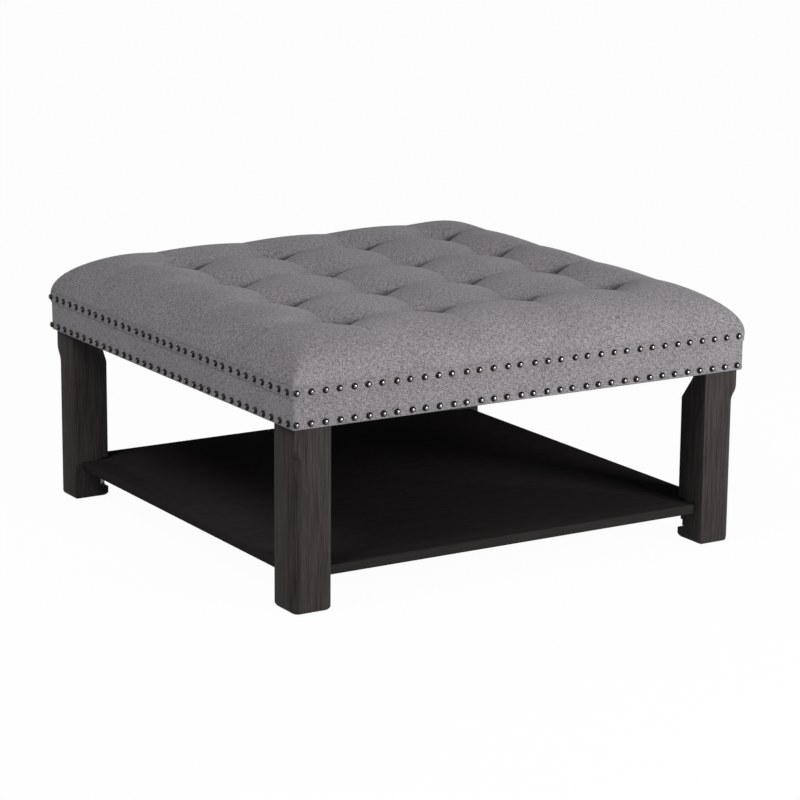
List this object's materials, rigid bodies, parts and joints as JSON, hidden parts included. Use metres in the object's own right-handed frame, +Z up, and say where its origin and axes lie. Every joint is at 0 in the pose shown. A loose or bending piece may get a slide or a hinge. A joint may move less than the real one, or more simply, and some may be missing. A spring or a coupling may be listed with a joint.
{
  "type": "ottoman coffee table",
  "caption": "Square upholstered coffee table with a button-free tufted top, nailhead-trimmed apron, square chamfered wooden legs and an open lower shelf.",
  "frame": {"origin": "on the floor, under the centre of the top", "axes": "+Z up, +X to the right along the front, +Y from the front to the back"},
  "size_m": [0.8742, 0.8742, 0.453],
  "materials": {
    "cover_fabric": "heathered grey linen weave, matt",
    "dark_wood": "dark charcoal-brown stain, satin, fine straight grain",
    "nailhead": "black nickel, polished domes",
    "frame_wood": "plain sawn softwood",
    "deck_ply": "plywood, unfinished",
    "foam": "open-cell foam",
    "dust_cloth": "black non-woven dust cloth",
    "twine": "waxed twine",
    "zinc_steel": "zinc-plated steel",
    "glide_nylon": "black nylon"
  },
  "bodies": {
    "root": {"apron_cover": "cover_fabric", "corner_block_back_left": "frame_wood", "corner_block_back_right": "frame_wood", "corner_block_front_left": "frame_wood", "corner_block_front_right": "frame_wood", "corner_block_screws": "zinc_steel", "cross_rail": "frame_wood", "cross_rail_screws": "zinc_steel", "deck_panel": "deck_ply", "deck_screws": "zinc_steel", "dust_cover": "dust_cloth", "foam_block": "foam", "hanger_bolts": "zinc_steel", "hanger_nuts": "zinc_steel", "hanger_washers": "zinc_steel", "leg_back_left": "dark_wood", "leg_back_right": "dark_wood", "leg_front_left": "dark_wood", "leg_front_right": "dark_wood", "leg_glides": "glide_nylon", "nail_band": "cover_fabric", "nails_lower_back": "nailhead", "nails_lower_front": "nailhead", "nails_lower_left": "nailhead", "nails_lower_right": "nailhead", "nails_upper_back": "nailhead", "nails_upper_front": "nailhead", "nails_upper_left": "nailhead", "nails_upper_right": "nailhead", "rail_back": "frame_wood", "rail_front": "frame_wood", "rail_left": "frame_wood", "rail_right": "frame_wood", "shelf_bracket_back_left": "zinc_steel", "shelf_bracket_back_right": "zinc_steel", "shelf_bracket_front_left": "zinc_steel", "shelf_bracket_front_right": "zinc_steel", "shelf_bracket_screws": "zinc_steel", "shelf_leg_bolts": "zinc_steel", "shelf_panel": "dark_wood", "tuft_ties": "twine", "tuft_washers": "zinc_steel", "tufted_cushion": "cover_fabric"}
  },
  "joints": []
}
